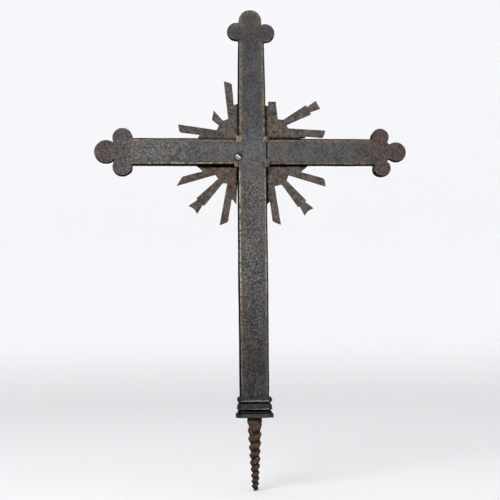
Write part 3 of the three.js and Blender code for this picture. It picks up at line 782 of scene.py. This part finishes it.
def forged_finish():
    """Forged bars: dark scale, rusty chamfers, bright worn arrises with a painted highlight on the lobes'
    lower rims, and painted shade on the sides, undersides and outer edges and in the hollows, which also hold
    grime.
    """
    finish = Finish("forged_iron_worn")
    grain = finish.noise(2.4 * MM, 2, 0.7)
    colour = forged_scale(finish, grain)
    rust = finish.noise(4.5 * MM, 3, 0.7)
    stain = finish.times(finish.attribute("stain"), finish.between(rust, 0.25, 0.6, 0.7))
    colour = finish.mix(stain, colour, linear(82, 74, 64))
    tan = finish.mix(finish.between(rust, 0.42, 0.66), linear(74, 68, 60), linear(120, 108, 90))
    chamfer = finish.times(finish.attribute("chamfer"), finish.between(rust, 0.3, 0.5))
    colour = finish.mix(chamfer, colour, tan)
    # The rim mask holds worn lines and chips, and a painted highlight on the lobes' lower rims.
    worn = finish.times(finish.attribute("rim"), finish.between(finish.noise(4 * MM, 3), 0.42, 0.58))
    colour = finish.mix(worn, colour, linear(182, 174, 164))
    # Painted shade, with grime in the hollows, goes near black and loses its sheen.
    hollow = finish.between(finish.attribute("hollow"), 0.1, 1, 0.8)
    painted_shade_and_grime = finish.math("MAXIMUM", finish.attribute("painted_shade_and_grime"), hollow)
    shade_and_grime_colour = finish.mix(finish.between(grain, 0.42, 0.66), linear(4, 4, 4), linear(28, 26, 25))
    colour = finish.mix(painted_shade_and_grime, colour, shade_and_grime_colour)
    normal = finish.bump(grain, 0.4 * MM, 0.7)
    roughness = finish.scaled(finish.noise(5 * MM), 0.5, 0.75)
    return finish.finish(colour, roughness, normal, 0.2, finish.scaled(painted_shade_and_grime, 0.15, 0.0))


def sheet_finish(name, skin, rust, lump):
    """Brown-grey rusty sheet, with two colours for its skin, one for rust and three for its tongue, the third
    of them light flecks of painted highlight.
    """
    finish = Finish(name)
    mottle = finish.noise(14 * MM, 5)
    grain = finish.noise(3.4 * MM, 2, 0.7)
    lumps = finish.noise(3.5 * MM)
    colour = finish.mix(finish.between(mottle, 0.35, 0.65), linear(*skin[0]), linear(*skin[1]))
    root = finish.times(finish.attribute("root"), finish.between(finish.noise(9 * MM, 4), 0.4, 0.6, 0.8))
    colour = finish.mix(root, colour, linear(*rust))
    lump_colour = finish.mix(finish.between(lumps, 0.4, 0.62), linear(*lump[0]), linear(*lump[1]))
    # Light flecks of painted highlight on the tongue's lump.
    flecks = finish.between(finish.specks(4.5 * MM), 0.3, 0.15, 0.8)
    lump_colour = finish.mix(flecks, lump_colour, linear(*lump[2]))
    colour = finish.mix(finish.attribute("tongue"), colour, lump_colour)
    colour = finish.mix(finish.between(grain, 0.54, 0.7, 0.7), colour, linear(120, 108, 98))
    colour = finish.mix(finish.between(grain, 0.47, 0.33, 0.8), colour, linear(34, 29, 27))
    worn = finish.times(finish.attribute("edge"), finish.between(finish.noise(6 * MM, 4), 0.5, 0.65, 0.5))
    colour = finish.mix(worn, colour, linear(128, 116, 104))
    # Painted shade and shadow, with grime in the hollows, go near black and lose their sheen.
    hollow = finish.between(finish.attribute("hollow"), 0.2, 1, 0.7)
    painted_shade_and_grime = finish.math("MAXIMUM", finish.attribute("painted_shade_and_grime"), hollow)
    colour = finish.mix(painted_shade_and_grime, colour, linear(8, 6, 6))
    normal = finish.bump(grain, 0.3 * MM, 0.7)
    roughness = finish.scaled(finish.noise(4 * MM), 0.6, 0.85)
    return finish.finish(colour, roughness, normal, 0.1, finish.scaled(painted_shade_and_grime, 0.12, 0.0))


def collar_finish():
    """Near-black iron, bright along the rims at its front from wear and painted highlight, with painted shade
    in its grooves.
    """
    finish = Finish("collar_iron_worn")
    grain = finish.noise(3 * MM, 4, 0.7)
    patches = finish.between(finish.noise(9 * MM, 4), 0.35, 0.65)
    colour = finish.mix(patches, linear(30, 30, 31), linear(45, 44, 44))
    colour = finish.mix(finish.times(finish.attribute("flange"), 0.7), colour, linear(56, 58, 58))
    colour = finish.mix(finish.between(grain, 0.54, 0.7, 0.75), colour, linear(88, 86, 85))
    colour = finish.mix(finish.attribute("return"), colour, linear(18, 18, 20))
    # Painted shade in the grooves.
    colour = finish.mix(finish.attribute("dark"), colour, linear(4, 4, 4))
    # Grime and painted shade in the hollows.
    colour = finish.mix(finish.attribute("hollow"), colour, linear(8, 7, 7))
    # Painted highlight and wear along the rims.
    colour = finish.mix(finish.attribute("bright"), colour, linear(168, 162, 157))
    normal = finish.bump(grain, 0.25 * MM, 0.7)
    roughness = finish.scaled(finish.noise(4 * MM), 0.42, 0.65)
    # Less sheen in the grooves' painted shade.
    specular = finish.scaled(finish.attribute("dark"), 0.2, 0.0)
    return finish.finish(colour, roughness, normal, 0.2, specular)


def rust_finish():
    """Brown and orange rust, dark in the grooves of the thread, with painted shadow under the collar."""
    finish = Finish("rusty_iron_worn")
    grain = finish.noise(3 * MM, 4, 0.7)
    patches = finish.between(finish.noise(10 * MM, 4), 0.4, 0.62)
    colour = finish.mix(patches, linear(37, 28, 23), linear(50, 37, 29))
    orange = finish.times(finish.attribute("orange"), finish.between(finish.noise(7 * MM, 3), 0.4, 0.58))
    colour = finish.mix(orange, colour, linear(80, 49, 27))
    colour = finish.mix(finish.between(grain, 0.54, 0.7, 0.6), colour, linear(80, 63, 51))
    crest = finish.between(finish.attribute("crest"), 0.6, 1)
    worn = finish.times(crest, finish.between(grain, 0.4, 0.6, 0.8))
    colour = finish.mix(worn, colour, linear(98, 77, 62))
    groove = finish.between(finish.attribute("crest"), 0.6, 0.1, 0.9)
    colour = finish.mix(groove, colour, linear(30, 20, 14))
    # Grime and painted shade in the hollows.
    colour = finish.mix(finish.attribute("hollow"), colour, linear(16, 11, 9))
    # Painted shadow under the collar.
    colour = finish.mix(finish.attribute("shank"), colour, linear(16, 14, 13))
    flecks = finish.between(finish.specks(7 * MM), 0.17, 0.08, 0.7)
    colour = finish.mix(flecks, colour, linear(176, 164, 150))
    normal = finish.bump(grain, 0.4 * MM, 0.8)
    roughness = finish.scaled(finish.noise(3 * MM), 0.65, 0.9)
    return finish.finish(colour, roughness, normal, 0.1, 0.12)


def steel_finish():
    """Bare steel, dulled and scratched, with grime and painted shade in its hollows, painted shade above the
    slot and round the rim, and a painted highlight along the slot.
    """
    finish = Finish("bright_steel_worn")
    grain = finish.noise(1.5 * MM, 4, 0.7)
    colour = finish.mix(finish.between(grain, 0.35, 0.65), linear(92, 90, 96), linear(142, 139, 146))
    # Grime and painted shade in the hollows.
    colour = finish.mix(finish.times(finish.attribute("hollow"), 0.6), colour, linear(24, 23, 24))
    colour = finish.mix(finish.times(finish.attribute("shade"), 0.92), colour, linear(24, 23, 24))
    # Painted highlight along the slot.
    colour = finish.mix(finish.attribute("cut"), colour, linear(244, 242, 240))
    normal = finish.bump(grain, 0.08 * MM, 0.6)
    roughness = finish.scaled(finish.noise(1.5 * MM), 0.4, 0.6)
    return finish.finish(colour, roughness, normal, 0.2, 0.2)


def stage_finish():
    """Pale paint of the floor and its surround."""
    finish = Finish("pale_stage")
    shade = finish.noise(0.4, 2)
    wall = finish.mix(shade, linear(244, 244, 245), linear(246, 246, 247))
    colour = finish.mix(finish.between(finish.height(), 0.0, 0.25), linear(226, 226, 227), wall)
    normal = finish.bump(shade, 0.1 * MM, 0.2)
    return finish.finish(colour, 0.9, normal, 0.0, 0.1)


def make_stage():
    """A flat pale floor under the screw's tip that curves up into a round surround."""
    floor_radius, curve_radius, height = 1.9, 0.7, 2.4
    curve_steps, sides = 16, 96
    profile = [(floor_radius * step / 4, 0) for step in range(1, 5)]
    for step in range(1, curve_steps + 1):
        angle = math.pi / 2 * step / curve_steps
        profile.append((floor_radius + curve_radius * math.sin(angle), curve_radius * (1 - math.cos(angle))))
    profile.append((floor_radius + curve_radius, height))
    points = [(0, 0, 0)]
    for radius, rise in profile:
        for side in range(sides):
            angle = 2 * math.pi * side / sides
            points.append((radius * math.cos(angle), radius * math.sin(angle), rise))
    faces = [(0, 1 + side, 1 + (side + 1) % sides) for side in range(sides)]
    for ring in range(len(profile) - 1):
        start = 1 + ring * sides
        for side in range(sides):
            after = (side + 1) % sides
            faces.append((start + side, start + sides + side, start + sides + after, start + after))
    mesh = bpy.data.meshes.new("stage")
    mesh.from_pydata(points, [], faces)
    mesh.shade_smooth()
    mesh.materials.append(stage_finish())
    stage = bpy.data.objects.new("stage", mesh)
    stage.location.z = SCREW_TIP_Z - STAGE_GAP
    bpy.context.scene.collection.objects.link(stage)


def make_light(name, place, target, width, power):
    """A square soft light aimed at a point."""
    data = bpy.data.lights.new(name, "AREA")
    data.size = width
    data.energy = power
    light = bpy.data.objects.new(name, data)
    light.location = place
    aim = Vector(target) - Vector(place)
    light.rotation_euler = aim.to_track_quat("-Z", "Y").to_euler()
    bpy.context.scene.collection.objects.link(light)


def make_lights():
    world = bpy.data.worlds.new("studio")
    world.use_nodes = True
    sky = world.node_tree.nodes["Background"]
    sky.inputs["Color"].default_value = linear(252, 252, 254)
    sky.inputs["Strength"].default_value = 0.92
    bpy.context.scene.world = world
    middle = (0, 0, 0.3)
    make_light("key_light", (-1.1, -1.5, 1.6), middle, 1.2, 28)
    make_light("fill_light", (1.4, -1.5, 0.9), middle, 1.4, 8)


def make_camera():
    """The photograph's camera, from its place and its three angles."""
    forward = Vector((
        math.sin(CAMERA_YAW) * math.cos(CAMERA_PITCH),
        math.cos(CAMERA_YAW) * math.cos(CAMERA_PITCH),
        math.sin(CAMERA_PITCH),
    ))
    level_right = forward.cross(Vector((0, 0, 1))).normalized()
    level_up = level_right.cross(forward)
    right = math.cos(CAMERA_ROLL) * level_right + math.sin(CAMERA_ROLL) * level_up
    up = math.cos(CAMERA_ROLL) * level_up - math.sin(CAMERA_ROLL) * level_right
    data = bpy.data.cameras.new("photo_camera")
    data.sensor_width = SENSOR_MM
    data.lens = SENSOR_MM * FOCAL_PIXELS / IMAGE_PIXELS
    camera = bpy.data.objects.new("photo_camera", data)
    turn = Matrix((right, up, -forward)).transposed().to_4x4()
    camera.matrix_world = Matrix.Translation(CAMERA_PLACE) @ turn
    bpy.context.scene.collection.objects.link(camera)
    bpy.context.scene.camera = camera


def make_bars():
    forged = forged_finish()
    upright = make_bar("upright", UPRIGHT_TONES_AND_LIGHT, UP_AXIS, upright_edges)
    crossbar = make_bar("crossbar", CROSSBAR_TONES_AND_LIGHT, ACROSS_AXIS, crossbar_edges)
    close_left_seam(crossbar)
    place_piece(upright, "upright", forged)
    place_piece(crossbar, "crossbar", forged)


def make_plates():
    grey_skin = ((68, 61, 57), (88, 80, 74))
    red_skin = ((66, 57, 53), (86, 75, 69))
    tan = (98, 85, 67)
    red = (94, 73, 61)
    # The third colour of each lump is for light flecks of painted highlight.
    pale_lump = ((92, 81, 69), (138, 124, 106), (164, 150, 132))
    grey_lump = ((66, 61, 55), (98, 91, 82), (206, 199, 189))
    orange_lump = ((84, 66, 52), (124, 98, 76), (140, 112, 88))
    brown_lump = ((60, 55, 50), (90, 83, 75), (112, 102, 92))
    finishes = {
        "upper_left": sheet_finish("sheet_iron_upper_left", grey_skin, tan, pale_lump),
        "upper_right": sheet_finish("sheet_iron_upper_right", grey_skin, tan, grey_lump),
        "lower_left": sheet_finish("sheet_iron_lower_left", red_skin, red, orange_lump),
        "lower_right": sheet_finish("sheet_iron_lower_right", grey_skin, (84, 70, 62), brown_lump),
    }
    for index, (corner, material) in enumerate(finishes.items()):
        node = f"ray_plate_{corner}"
        seed = SEEDS["ray_plates"] + PLATE_SEED_STEP * index
        place_piece(make_plate(node, seed), node, material)


def make_foot():
    place_piece(make_collar(SEEDS["base_collar"]), "base_collar", collar_finish())
    place_piece(make_screw(SEEDS["foot_screw"]), "foot_screw", rust_finish())


def make_corner_screw():
    head = make_screw_head(SEEDS["corner_screw"])
    place_piece(head, "corner_screw", steel_finish())


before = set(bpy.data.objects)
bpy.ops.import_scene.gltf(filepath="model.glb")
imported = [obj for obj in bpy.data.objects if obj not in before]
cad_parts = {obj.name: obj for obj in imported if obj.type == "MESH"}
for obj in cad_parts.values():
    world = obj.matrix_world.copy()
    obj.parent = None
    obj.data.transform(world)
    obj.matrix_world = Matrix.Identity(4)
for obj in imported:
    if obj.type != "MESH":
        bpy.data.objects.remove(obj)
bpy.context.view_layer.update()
bpy.context.scene.view_settings.view_transform = "Standard"
make_bars()
make_plates()
make_foot()
make_corner_screw()
make_stage()
make_lights()
make_camera()
